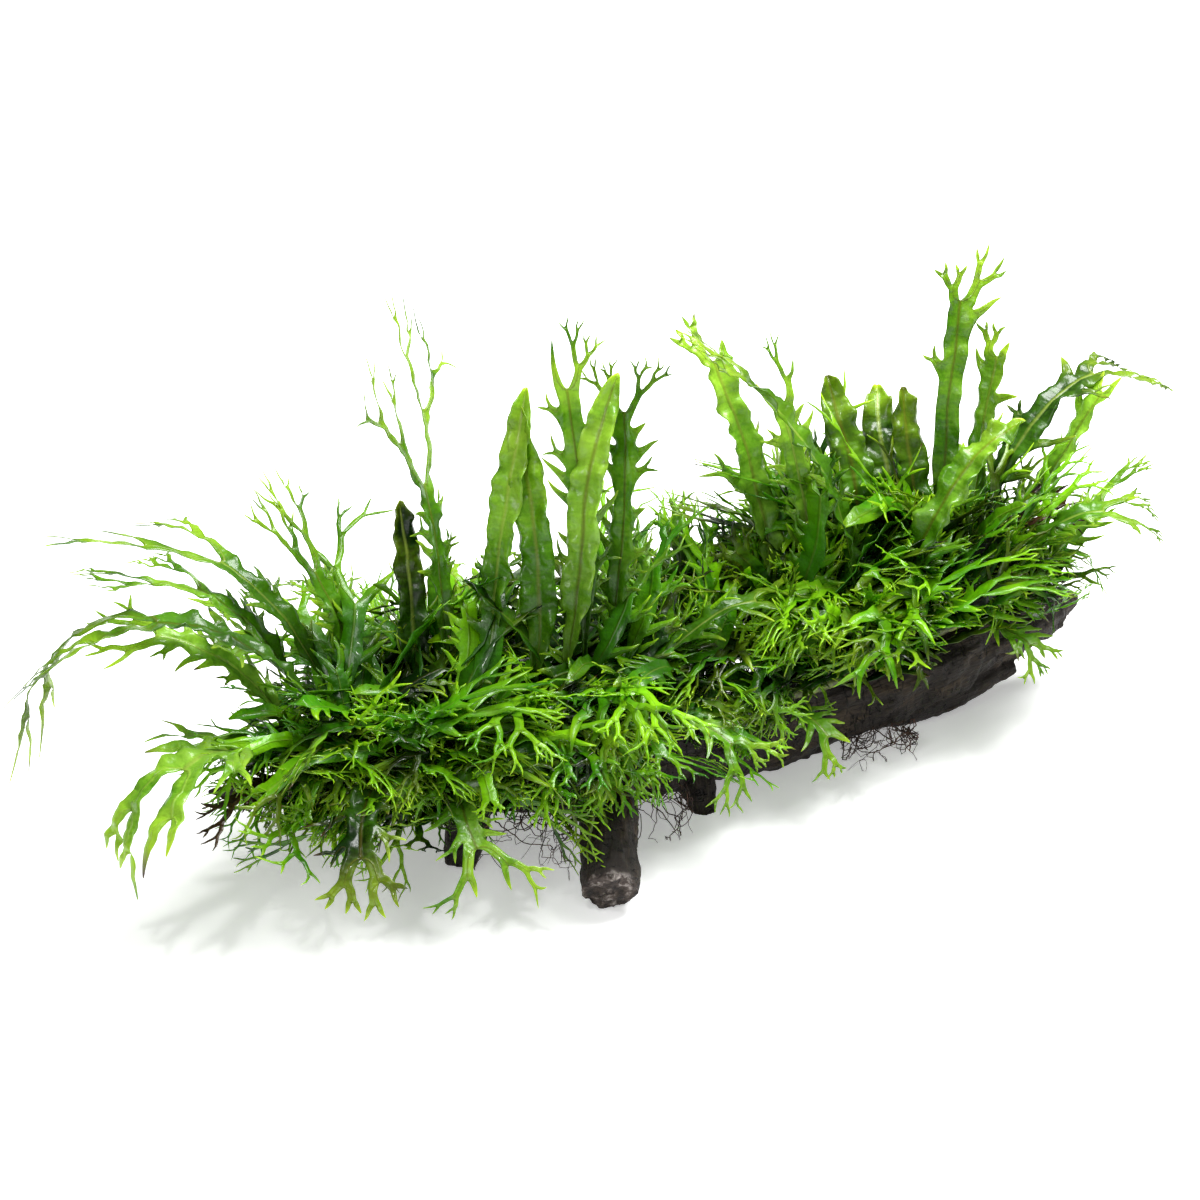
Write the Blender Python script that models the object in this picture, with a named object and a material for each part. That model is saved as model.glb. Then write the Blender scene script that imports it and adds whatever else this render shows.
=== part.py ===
"""Java fern grown over a piece of driftwood: a branching log that carries two clumps of fronds.

Metres, +Z up. The log rests on the plane z = 0, and its long axis runs roughly along X.
Every long frond is a solid of its own. The short fronds between them grow in dense masses,
and each mass is one closed solid that reaches their tips.
"""
import math

import bmesh
import bpy
from mathutils import Matrix, Vector

GAP = 0.0003            # clearance between pieces that touch
NEARLY_UPRIGHT = 0.2    # a line whose level part is less than this takes its side from the Y axis

# The middle of the finished plant's footprint, taken off every place so that the origin lies there.
FOOTPRINT_MIDDLE = Vector((0.00867, -0.00284, 0.0))

# Driftwood limbs: centre-line points (x, y, z) and the radius at each.
TRUNK = (
    (-0.046, -0.059, 0.031, 0.0130),
    (-0.020, -0.049, 0.029, 0.0185),
    (0.020, -0.026, 0.024, 0.0205),
    (0.060, 0.001, 0.0180, 0.0215),
    (0.100, 0.025, 0.0185, 0.0220),
    (0.140, 0.047, 0.0225, 0.0215),
    (0.178, 0.066, 0.0300, 0.0190),
    (0.206, 0.081, 0.0345, 0.0150),
    (0.223, 0.091, 0.0375, 0.0085),
)
LEFT_ARM = (
    (-0.030, -0.053, 0.030, 0.0130),
    (-0.062, -0.064, 0.033, 0.0150),
    (-0.092, -0.072, 0.036, 0.0130),
    (-0.122, -0.076, 0.038, 0.0100),
    (-0.148, -0.075, 0.037, 0.0070),
    (-0.166, -0.073, 0.035, 0.0035),
)
FRONT_STUB = (
    (0.000, -0.042, 0.028, 0.0135),
    (0.003, -0.068, 0.025, 0.0150),
    (0.004, -0.094, 0.019, 0.0145),
    (0.004, -0.117, 0.0110, 0.0138),
)
LEFT_KNEE = (
    (-0.058, -0.066, 0.026, 0.0105),
    (-0.060, -0.074, 0.012, 0.0100),
    (-0.062, -0.080, 0.000, 0.0080),
)
MIDDLE_FOOT = (
    (0.040, -0.020, 0.016, 0.0110),
    (0.045, -0.030, 0.006, 0.0090),
    (0.047, -0.034, -0.003, 0.0070),
)
LOWER_PRONG = (
    (0.118, 0.030, 0.008, 0.0060),
    (0.146, 0.040, 0.0085, 0.0080),
    (0.174, 0.055, 0.0105, 0.0075),
    (0.198, 0.068, 0.0150, 0.0045),
)
END_SPLINTER = (
    (0.184, 0.074, 0.049, 0.0040),
    (0.198, 0.085, 0.0550, 0.0034),
    (0.212, 0.092, 0.0530, 0.0028),
    (0.224, 0.095, 0.0455, 0.0022),
)
LIMBS = {
    "trunk": TRUNK,
    "left_arm": LEFT_ARM,
    "front_stub": FRONT_STUB,
    "left_knee": LEFT_KNEE,
    "middle_foot": MIDDLE_FOOT,
    "lower_prong": LOWER_PRONG,
    "end_splinter": END_SPLINTER,
}
LIMB_SIDES = 10
TWIG_SIDES = 6
TWIG_RADIUS = 0.012     # limbs thinner than this all along take fewer sides
BURR = 0.07             # how far the lumps of the wood stand out, as a share of the radius

# Creeping stems: the limb each lies on, where it starts and ends along the limb's centre line,
# and the angle from straight up at which it lies, positive towards -Y.
RHIZOME_RADIUS = 0.0028
RHIZOMES = {
    "rhizome_left_front": ("left_arm", 0.08, 0.66, 36.0),
    "rhizome_left_back": ("left_arm", 0.06, 0.64, -30.0),
    "rhizome_middle": ("trunk", 0.07, 0.34, 4.0),
    "rhizome_right_front": ("trunk", 0.40, 0.80, 30.0),
    "rhizome_right_back": ("trunk", 0.44, 0.80, -26.0),
}
RHIZOME_WAVE = 0.0020   # how far a creeping stem wanders off its line
RHIZOME_SWING = 6.0     # degrees that it swings round the limb
RHIZOME_TAPER = 0.7     # radius at its ends, as a share of the full radius
RHIZOME_SIDES = 6
RHIZOME_STEPS = 7

# Tangles of hair roots under the log: middle and half sizes.
ROOT_TANGLES = {
    "roots_left": ((-0.036, -0.086, 0.012), (0.021, 0.015, 0.014)),
    "roots_middle": ((0.024, -0.052, 0.008), (0.014, 0.012, 0.010)),
    "roots_right": ((0.130, 0.011, 0.004), (0.015, 0.010, 0.007)),
}

# Masses of short fronds: middle and half sizes of each.
FOLIAGE = {
    "foliage_left_front": ((-0.110, -0.099, 0.056), (0.072, 0.042, 0.044)),
    "foliage_left_middle": ((-0.022, -0.092, 0.058), (0.050, 0.042, 0.042)),
    "foliage_left_back": ((-0.078, -0.024, 0.070), (0.086, 0.046, 0.068)),
    "foliage_middle_front": ((0.050, -0.042, 0.044), (0.040, 0.036, 0.036)),
    "foliage_middle_back": ((0.030, 0.034, 0.076), (0.044, 0.044, 0.064)),
    "foliage_right_front": ((0.106, 0.004, 0.070), (0.056, 0.038, 0.038)),
    "foliage_right_back": ((0.108, 0.066, 0.090), (0.064, 0.042, 0.056)),
    "foliage_right_end": ((0.194, 0.070, 0.084), (0.048, 0.046, 0.042)),
}
LUMP_SEGMENTS = 10
LUMP_RINGS = 6
LUMP_WAVES = (0.06, 0.05)       # how far a mass's lumps stand out, as shares of its half sizes

# Long fronds, in order:
#   rhizome it grows from, share of the way along it,
#   heading of the frond seen from above (0 is +X, 90 is +Y),
#   angle above level at the foot, how far it has turned down by the tip,
#   twist of the blade from foot to tip (all degrees),
#   length, blade width, width of the crest of fine forks at the tip (metres).
FRONDS = (
    # left clump
    ("rhizome_left_front", 0.74, 184, 70, 156, 20, 0.205, 0.015, 0.028),
    ("rhizome_left_back", 0.90, 165, 72, 92, 20, 0.146, 0.011, 0.020),
    ("rhizome_left_front", 0.91, 173, 68, 84, -20, 0.124, 0.010, 0.018),
    ("rhizome_left_back", 0.78, 153, 73, 92, 20, 0.156, 0.012, 0.024),
    ("rhizome_left_back", 0.68, 140, 76, 35, 20, 0.130, 0.009, 0.026),
    ("rhizome_left_back", 0.26, 130, 84, 14, 40, 0.180, 0.009, 0.028),
    ("rhizome_left_back", 0.12, 52, 84, 34, 20, 0.154, 0.015, 0.015),
    ("rhizome_middle", 0.03, 90, 84, 30, -20, 0.146, 0.016, 0.016),
    ("rhizome_middle", 0.20, 56, 86, 38, 20, 0.160, 0.015, 0.015),
    ("rhizome_middle", 0.32, 92, 80, 10, 20, 0.196, 0.012, 0.026),
    ("rhizome_middle", 0.43, 72, 80, 12, -20, 0.178, 0.012, 0.026),
    ("rhizome_left_back", 0.44, 100, 80, 12, 20, 0.106, 0.014, 0.014),
    ("rhizome_left_front", 0.99, 226, 54, 150, 10, 0.132, 0.017, 0.024),
    ("rhizome_left_front", 0.60, 266, 26, 108, 10, 0.104, 0.012, 0.026),
    ("rhizome_left_front", 0.32, 283, 16, 95, 10, 0.086, 0.010, 0.026),
    ("rhizome_left_back", 0.57, 115, 50, 80, 10, 0.110, 0.013, 0.026),
    ("rhizome_left_back", 0.01, 105, 52, 80, 10, 0.110, 0.013, 0.024),
    # between the clumps
    ("rhizome_middle", 0.52, 25, 55, 118, 10, 0.122, 0.010, 0.022),
    ("rhizome_middle", 0.62, 314, 26, 100, 10, 0.088, 0.010, 0.026),
    ("rhizome_right_front", 0.04, 303, 20, 90, 10, 0.062, 0.009, 0.022),
    # right clump
    ("rhizome_right_front", 0.36, 160, 88, 64, 20, 0.182, 0.015, 0.024),
    ("rhizome_right_back", 0.08, 128, 80, 26, 10, 0.164, 0.016, 0.018),
    ("rhizome_right_back", 0.20, 112, 82, 20, 10, 0.148, 0.009, 0.018),
    ("rhizome_right_front", 0.50, 32, 88, 78, 0, 0.130, 0.015, 0.015),
    ("rhizome_right_back", 0.40, 104, 84, 44, 0, 0.120, 0.016, 0.016),
    ("rhizome_right_back", 0.56, 94, 82, 62, 0, 0.112, 0.014, 0.014),
    ("rhizome_right_back", 0.66, 96, 84, 30, 20, 0.104, 0.013, 0.013),
    ("rhizome_right_back", 0.74, 70, 78, 14, 40, 0.164, 0.015, 0.018),
    ("rhizome_right_back", 0.84, 44, 84, 25, 0, 0.132, 0.012, 0.016),
    ("rhizome_right_back", 0.91, 38, 84, 140, 0, 0.176, 0.014, 0.022),
    ("rhizome_right_back", 0.96, 24, 60, 16, 0, 0.122, 0.013, 0.020),
    ("rhizome_right_front", 0.99, 16, 58, 46, 0, 0.100, 0.010, 0.028),
    ("rhizome_right_front", 0.92, 358, 78, 146, 0, 0.118, 0.012, 0.026),
    ("rhizome_right_front", 0.82, 312, 20, 90, 0, 0.056, 0.009, 0.024),
    ("rhizome_right_front", 0.60, 262, 40, 110, 0, 0.058, 0.010, 0.020),
    ("rhizome_right_back", 0.30, 98, 58, 80, 0, 0.118, 0.013, 0.024),
    ("rhizome_right_back", 0.70, 104, 56, 80, 0, 0.118, 0.013, 0.024),
)
BEND_POWER = 1.5        # above 1, a frond bends more towards its tip
STIPE_SHARE = 0.22      # share of the length that is bare stalk
CREST_SHARE = 0.80      # where the blade starts to spread into its crest
STIPE_RADIUS = 0.0011
BLADE_THICKNESS = 0.0012
FROND_STEPS = 40        # steps in which a frond's line is drawn
FROND_STATIONS = (0.0, 0.15, 0.275, 0.45, 0.625, 0.80, 0.90, 1.0)
SHOULDER_SHARE = 0.12   # share of the length over which the stalk widens to the blade
WAIST_START = 0.60      # where the blade starts to narrow before its crest
WAIST_LOSS = 0.35       # share of its width that it has lost there
CREST_END = 0.55        # width of the crest's far end, as a share of its widest

MATERIALS = {
    "driftwood": ((0.036, 0.027, 0.018), 0.62, 0.0),
    "rhizome": ((0.050, 0.080, 0.015), 0.55, 0.0),
    "hair_roots": ((0.018, 0.011, 0.007), 0.75, 0.0),
    "short_fronds": ((0.070, 0.230, 0.012), 0.40, 0.0),
    "long_fronds": ((0.085, 0.250, 0.015), 0.35, 0.0),
}


def clear_scene():
    for item in list(bpy.data.objects):
        bpy.data.objects.remove(item)


def make_material(name):
    colour, roughness, metallic = MATERIALS[name]
    material = bpy.data.materials.new(name)
    material.use_nodes = True
    shader = material.node_tree.nodes["Principled BSDF"]
    shader.inputs["Base Color"].default_value = (*colour, 1.0)
    shader.inputs["Roughness"].default_value = roughness
    shader.inputs["Metallic"].default_value = metallic
    return material


def add_object(name, bm, material, collection):
    """Turns a bmesh into a named object, in triangles so that a grown copy keeps the same facets."""
    bmesh.ops.recalc_face_normals(bm, faces=bm.faces)
    bmesh.ops.triangulate(bm, faces=bm.faces, quad_method="FIXED")
    mesh = bpy.data.meshes.new(name)
    bm.to_mesh(mesh)
    bm.free()
    mesh.materials.append(material)
    item = bpy.data.objects.new(name, mesh)
    collection.objects.link(item)
    return item


def smooth_route(points, steps):
    """Catmull-Rom points, steps to a span, through tuples of any length."""
    first = [2 * a - b for a, b in zip(points[0], points[1])]
    last = [2 * a - b for a, b in zip(points[-1], points[-2])]
    knots = [first, *points, last]
    route = []
    for span in range(len(points) - 1):
        p0, p1, p2, p3 = knots[span:span + 4]
        for step in range(steps):
            t = step / steps
            route.append([
                0.5 * (2 * b + (c - a) * t + (2 * a - 5 * b + 4 * c - d) * t * t
                       + (3 * b - a - 3 * c + d) * t ** 3)
                for a, b, c, d in zip(p0, p1, p2, p3)
            ])
    route.append(list(points[-1]))
    return route


def route_frames(centres):
    """Tangent, side and up vectors at each point, with the side kept level."""
    frames = []
    for index, centre in enumerate(centres):
        before = centres[max(index - 1, 0)]
        after = centres[min(index + 1, len(centres) - 1)]
        tangent = (after - before).normalized()
        side = tangent.cross(Vector((0, 0, 1)))
        if side.length < NEARLY_UPRIGHT:
            side = tangent.cross(Vector((0, 1, 0)))
        side.normalize()
        frames.append((tangent, side, side.cross(tangent).normalized()))
    return frames


def ring_middle(ring):
    return sum(ring, Vector()) / len(ring)


def extrude_rings(rings, grow=0.0):
    """Starts from the first ring's face and extrudes it through the others, ends grown outwards."""
    axis = (ring_middle(rings[1]) - ring_middle(rings[0])).normalized()
    rings[0] = [place - grow * axis for place in rings[0]]
    axis = (ring_middle(rings[-1]) - ring_middle(rings[-2])).normalized()
    rings[-1] = [place + grow * axis for place in rings[-1]]
    bm = bmesh.new()
    corners = [bm.verts.new(place) for place in rings[0]]
    face = bm.faces.new(corners)
    for count, ring in enumerate(rings[1:]):
        result = bmesh.ops.extrude_face_region(bm, geom=[face])
        if count:
            bmesh.ops.delete(bm, geom=[face], context="FACES_ONLY")
        face = next(part for part in result["geom"] if isinstance(part, bmesh.types.BMFace))
        ahead = set(face.verts)
        corners = [
            next(edge.other_vert(corner) for edge in corner.link_edges if edge.other_vert(corner) in ahead)
            for corner in corners]
        for corner, place in zip(corners, ring):
            corner.co = place
    return bm


def limb_rings(points, sides):
    """Lumpy rings along a limb, one at each of its points."""
    centres = [Vector(point[:3]) for point in points]
    rings = []
    for index, (centre, (_, side, up)) in enumerate(zip(centres, route_frames(centres))):
        ring = []
        for corner in range(sides):
            angle = math.tau * corner / sides
            lump = math.sin(3 * angle + 0.9 * index) + 0.6 * math.sin(2 * angle - 1.7 * index)
            radius = points[index][3] * (1 + BURR * lump)
            ring.append(centre + radius * (math.cos(angle) * side + math.sin(angle) * up))
        rings.append(ring)
    return rings


def cut_flat_at_floor(bm):
    """Takes off whatever lies under z = 0 and closes the cut with a flat face."""
    geometry = [*bm.verts, *bm.edges, *bm.faces]
    cut = bmesh.ops.bisect_plane(
        bm, geom=geometry, plane_co=(0, 0, 0), plane_no=(0, 0, -1), clear_outer=True)
    edges = [part for part in cut["geom_cut"] if isinstance(part, bmesh.types.BMEdge)]
    if edges:
        bmesh.ops.holes_fill(bm, edges=edges)


def make_limb(name, material, collection, grow=0.0):
    points = [(x, y, z, radius + grow) for x, y, z, radius in LIMBS[name]]
    thin = max(point[3] for point in LIMBS[name]) < TWIG_RADIUS
    bm = extrude_rings(limb_rings(points, TWIG_SIDES if thin else LIMB_SIDES), grow)
    if not grow:
        cut_flat_at_floor(bm)
    return add_object(name, bm, material, collection)


def point_on_limb(limb, share, angle, lift):
    """A place lift away from a limb's bark, at a share of its length and an angle off the top."""
    route = smooth_route(LIMBS[limb], 8)
    centres = [Vector(stop[:3]) for stop in route]
    place = share * (len(route) - 1)
    index = min(int(place), len(route) - 2)
    part = place - index
    centre = centres[index].lerp(centres[index + 1], part)
    radius = route[index][3] * (1 - part) + route[index + 1][3] * part
    _, side, up = route_frames(centres)[index]
    if side.y > 0:
        side = -side
    tilt = math.radians(angle)
    outward = math.sin(tilt) * side + math.cos(tilt) * up
    return centre + outward * (radius * (1 + BURR) + lift)


def rhizome_point(name, share):
    """A place on a creeping stem's centre line. The stem is sunk a little into the bark."""
    limb, start, end, angle = RHIZOMES[name]
    lift = RHIZOME_RADIUS * 0.6 + abs(RHIZOME_WAVE * math.sin(9 * share))
    swing = RHIZOME_SWING * math.sin(7 * share)
    return point_on_limb(limb, start + (end - start) * share, angle + swing, lift)


def make_rhizome(name, material, collection, grow=0.0):
    centres = [rhizome_point(name, step / RHIZOME_STEPS) for step in range(RHIZOME_STEPS + 1)]
    rings = []
    for index, (centre, (_, side, up)) in enumerate(zip(centres, route_frames(centres))):
        taper = RHIZOME_TAPER if index in (0, RHIZOME_STEPS) else 1.0
        radius = RHIZOME_RADIUS * taper + grow
        angles = [math.tau * corner / RHIZOME_SIDES for corner in range(RHIZOME_SIDES)]
        rings.append([centre + radius * (math.cos(a) * side + math.sin(a) * up) for a in angles])
    return add_object(name, extrude_rings(rings, grow), material, collection)


def frond_line(frond):
    """Each station of a long frond: its share of the length, place, blade side and blade normal."""
    rhizome, share, heading, rise, droop, twist, length = frond[:7]
    foot = rhizome_point(rhizome, share)
    turn = math.radians(heading)
    ahead = Vector((math.cos(turn), math.sin(turn), 0))
    up = Vector((0, 0, 1))
    start = math.cos(math.radians(rise)) * ahead + math.sin(math.radians(rise)) * up
    place = foot + start * (RHIZOME_RADIUS + 3 * GAP)
    line = []
    stations = {round(station * FROND_STEPS): station for station in FROND_STATIONS}
    for step in range(FROND_STEPS + 1):
        part = step / FROND_STEPS
        bend = math.radians(rise - droop * part ** BEND_POWER)
        tangent = math.cos(bend) * ahead + math.sin(bend) * up
        if step in stations:
            side = up.cross(ahead).normalized()
            roll = Matrix.Rotation(math.radians(twist) * part, 3, tangent)
            side = roll @ side
            line.append((stations[step], place.copy(), side, side.cross(tangent)))
        place += tangent * (length / FROND_STEPS)
    return line


def blade_width(share, width, crest):
    """Full width of a frond at a share of its length: stalk, blade, then the spreading crest."""
    if share < STIPE_SHARE:
        return 2 * STIPE_RADIUS
    if share <= CREST_SHARE:
        shoulder = min(1.0, (share - STIPE_SHARE + SHOULDER_SHARE / 3) / (SHOULDER_SHARE * 4 / 3))
        waist = 1 - WAIST_LOSS * max(0.0, (share - WAIST_START) / (CREST_SHARE - WAIST_START))
        return width * shoulder * waist
    return crest if share < 1.0 else crest * CREST_END


def make_frond(name, frond, material, collection, grow=0.0):
    width, crest = frond[-2:]
    rings = []
    for share, place, side, normal in frond_line(frond):
        half = blade_width(share, width, crest) / 2 + grow
        thick = (STIPE_RADIUS if share < STIPE_SHARE else BLADE_THICKNESS / 2) + grow
        rings.append([
            place - side * half, place - normal * thick, place + side * half, place + normal * thick])
    return add_object(name, extrude_rings(rings, grow), material, collection)


def make_lump(name, middle, half_sizes, material, collection, grow=0.0):
    """A lumpy rounded mass, flat where it would go under the floor."""
    bm = bmesh.new()
    bmesh.ops.create_uvsphere(bm, u_segments=LUMP_SEGMENTS, v_segments=LUMP_RINGS, radius=1.0)
    for corner in bm.verts:
        x, y, z = corner.co
        first, second = LUMP_WAVES
        lump = 1 + first * math.sin(5 * x + 110 * middle[0]) + second * math.cos(6 * y - 4 * z)
        corner.co = Vector([
            mid + value * lump * (half + grow)
            for mid, value, half in zip(middle, (x, y, z), half_sizes)])
    if not grow:
        cut_flat_at_floor(bm)
    return add_object(name, bm, material, collection)


def cut_by(item, cutters):
    """Cuts an object by every object of a collection."""
    cut = item.modifiers.new("clear of neighbours", "BOOLEAN")
    cut.operation = "DIFFERENCE"
    cut.solver = "EXACT"
    cut.operand_type = "COLLECTION"
    cut.collection = cutters


def make_room(name, makers):
    """A collection of grown copies that only cut: the room that other pieces leave."""
    room = bpy.data.collections.new(name)
    bpy.context.scene.collection.children.link(room)
    for maker in makers:
        maker(room)
    room.hide_render = True
    for item in room.objects:
        item.hide_render = True
        item.display_type = "WIRE"
    return room


def build():
    clear_scene()
    materials = {name: make_material(name) for name in MATERIALS}
    plant = bpy.context.scene.collection

    def grown_limb(name):
        return lambda room: make_limb(name, materials["driftwood"], room, GAP)

    def grown_rhizome(name):
        return lambda room: make_rhizome(name, materials["rhizome"], room, GAP)

    def grown_lump(name, sizes):
        return lambda room: make_lump(name, *sizes, materials["hair_roots"], room, GAP)

    def grown_frond(name, frond):
        return lambda room: make_frond(name, frond, materials["long_fronds"], room, GAP)

    limb_names = list(LIMBS)
    for index, name in enumerate(limb_names):
        item = make_limb(name, materials["driftwood"], plant)
        if index:
            cut_by(item, make_room("around " + name, map(grown_limb, limb_names[:index])))
    wood_room = make_room("around the wood", map(grown_limb, limb_names))

    for name in RHIZOMES:
        cut_by(make_rhizome(name, materials["rhizome"], plant), wood_room)
    rhizome_room = make_room("around the rhizomes", map(grown_rhizome, RHIZOMES))

    for name, sizes in ROOT_TANGLES.items():
        cut_by(make_lump(name, *sizes, materials["hair_roots"], plant), wood_room)
    root_room = make_room("around the roots", [grown_lump(*item) for item in ROOT_TANGLES.items()])

    fronds = {f"frond_{index + 1:02d}": frond for index, frond in enumerate(FRONDS)}
    for name, frond in fronds.items():
        make_frond(name, frond, materials["long_fronds"], plant)
    frond_room = make_room("around the fronds", [grown_frond(*item) for item in fronds.items()])

    masses = list(FOLIAGE.items())
    for index, (name, sizes) in enumerate(masses):
        mass = make_lump(name, *sizes, materials["short_fronds"], plant)
        for room in (wood_room, rhizome_room, root_room, frond_room):
            cut_by(mass, room)
        if index:
            earlier = [grown_lump(*item) for item in masses[:index]]
            cut_by(mass, make_room("around " + name, earlier))

    for item in bpy.data.objects:
        item.location = -FOOTPRINT_MIDDLE


build()
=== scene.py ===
"""Java fern on driftwood: its looks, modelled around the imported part.

The log, the creeping stems, the hair roots and every frond are modelled here in their own places.
Metres, +Z up. The plant rests on the plane z = 0 and faces -Y.
"""
import math
import random

import bmesh
import bpy
import numpy as np
from mathutils import Matrix, Vector


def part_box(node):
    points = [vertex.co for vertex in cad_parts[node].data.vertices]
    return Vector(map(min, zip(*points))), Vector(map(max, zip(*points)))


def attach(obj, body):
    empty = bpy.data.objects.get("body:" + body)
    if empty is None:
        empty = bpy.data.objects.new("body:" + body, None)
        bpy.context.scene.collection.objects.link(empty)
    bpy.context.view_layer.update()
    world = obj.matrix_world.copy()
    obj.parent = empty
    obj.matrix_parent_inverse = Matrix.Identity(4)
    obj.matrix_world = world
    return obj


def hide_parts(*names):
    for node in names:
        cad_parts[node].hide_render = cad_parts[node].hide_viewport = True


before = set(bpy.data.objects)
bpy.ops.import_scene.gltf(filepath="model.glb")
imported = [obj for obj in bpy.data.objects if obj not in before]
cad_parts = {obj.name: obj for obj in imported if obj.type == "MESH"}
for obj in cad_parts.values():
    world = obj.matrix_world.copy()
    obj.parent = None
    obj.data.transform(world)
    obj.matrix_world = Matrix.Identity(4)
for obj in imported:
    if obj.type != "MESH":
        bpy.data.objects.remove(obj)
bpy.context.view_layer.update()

# ---------------------------------------------------------------- layout, in step with the part's source

FOOTPRINT_MIDDLE = Vector((0.00867, -0.00284, 0.0))

# Limbs of the log: centre-line points (x, y, z) and the radius at each.
LIMBS = {
    "trunk": (
        (-0.046, -0.059, 0.031, 0.0130), (-0.020, -0.049, 0.029, 0.0185), (0.020, -0.026, 0.024, 0.0205),
        (0.060, 0.001, 0.0180, 0.0215), (0.100, 0.025, 0.0185, 0.0220), (0.140, 0.047, 0.0225, 0.0215),
        (0.178, 0.066, 0.0300, 0.0190), (0.206, 0.081, 0.0345, 0.0150), (0.223, 0.091, 0.0375, 0.0085)),
    "left_arm": (
        (-0.030, -0.053, 0.030, 0.0130), (-0.062, -0.064, 0.033, 0.0150), (-0.092, -0.072, 0.036, 0.0130),
        (-0.122, -0.076, 0.038, 0.0100), (-0.148, -0.075, 0.037, 0.0070), (-0.166, -0.073, 0.035, 0.0035)),
    "front_stub": (
        (0.000, -0.042, 0.028, 0.0135), (0.003, -0.068, 0.025, 0.0150), (0.004, -0.094, 0.019, 0.0145),
        (0.004, -0.117, 0.0110, 0.0138)),
    "left_knee": (
        (-0.058, -0.066, 0.026, 0.0105), (-0.060, -0.074, 0.012, 0.0100), (-0.062, -0.080, 0.000, 0.0080)),
    "middle_foot": (
        (0.040, -0.020, 0.016, 0.0110), (0.045, -0.030, 0.006, 0.0090), (0.047, -0.034, -0.003, 0.0070)),
    "lower_prong": (
        (0.118, 0.030, 0.008, 0.0060), (0.146, 0.040, 0.0085, 0.0080), (0.174, 0.055, 0.0105, 0.0075),
        (0.198, 0.068, 0.0150, 0.0045)),
    "end_splinter": (
        (0.184, 0.074, 0.049, 0.0040), (0.198, 0.085, 0.0550, 0.0034), (0.212, 0.092, 0.0530, 0.0028),
        (0.224, 0.095, 0.0455, 0.0022)),
}
BURR = 0.07             # how far the lumps of the wood stand out, as a share of the radius
GAP = 0.0003            # clearance between pieces that touch

# Creeping stems: the limb, start and end shares along it, angle from straight up towards -Y.
RHIZOME_RADIUS = 0.0028
RHIZOMES = {
    "rhizome_left_front": ("left_arm", 0.08, 0.66, 36.0),
    "rhizome_left_back": ("left_arm", 0.06, 0.64, -30.0),
    "rhizome_middle": ("trunk", 0.07, 0.34, 4.0),
    "rhizome_right_front": ("trunk", 0.40, 0.80, 30.0),
    "rhizome_right_back": ("trunk", 0.44, 0.80, -26.0),
}
RHIZOME_WAVE = 0.0020   # how far a creeping stem wanders off its line
RHIZOME_SWING = 6.0     # degrees that it swings round the limb

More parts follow.
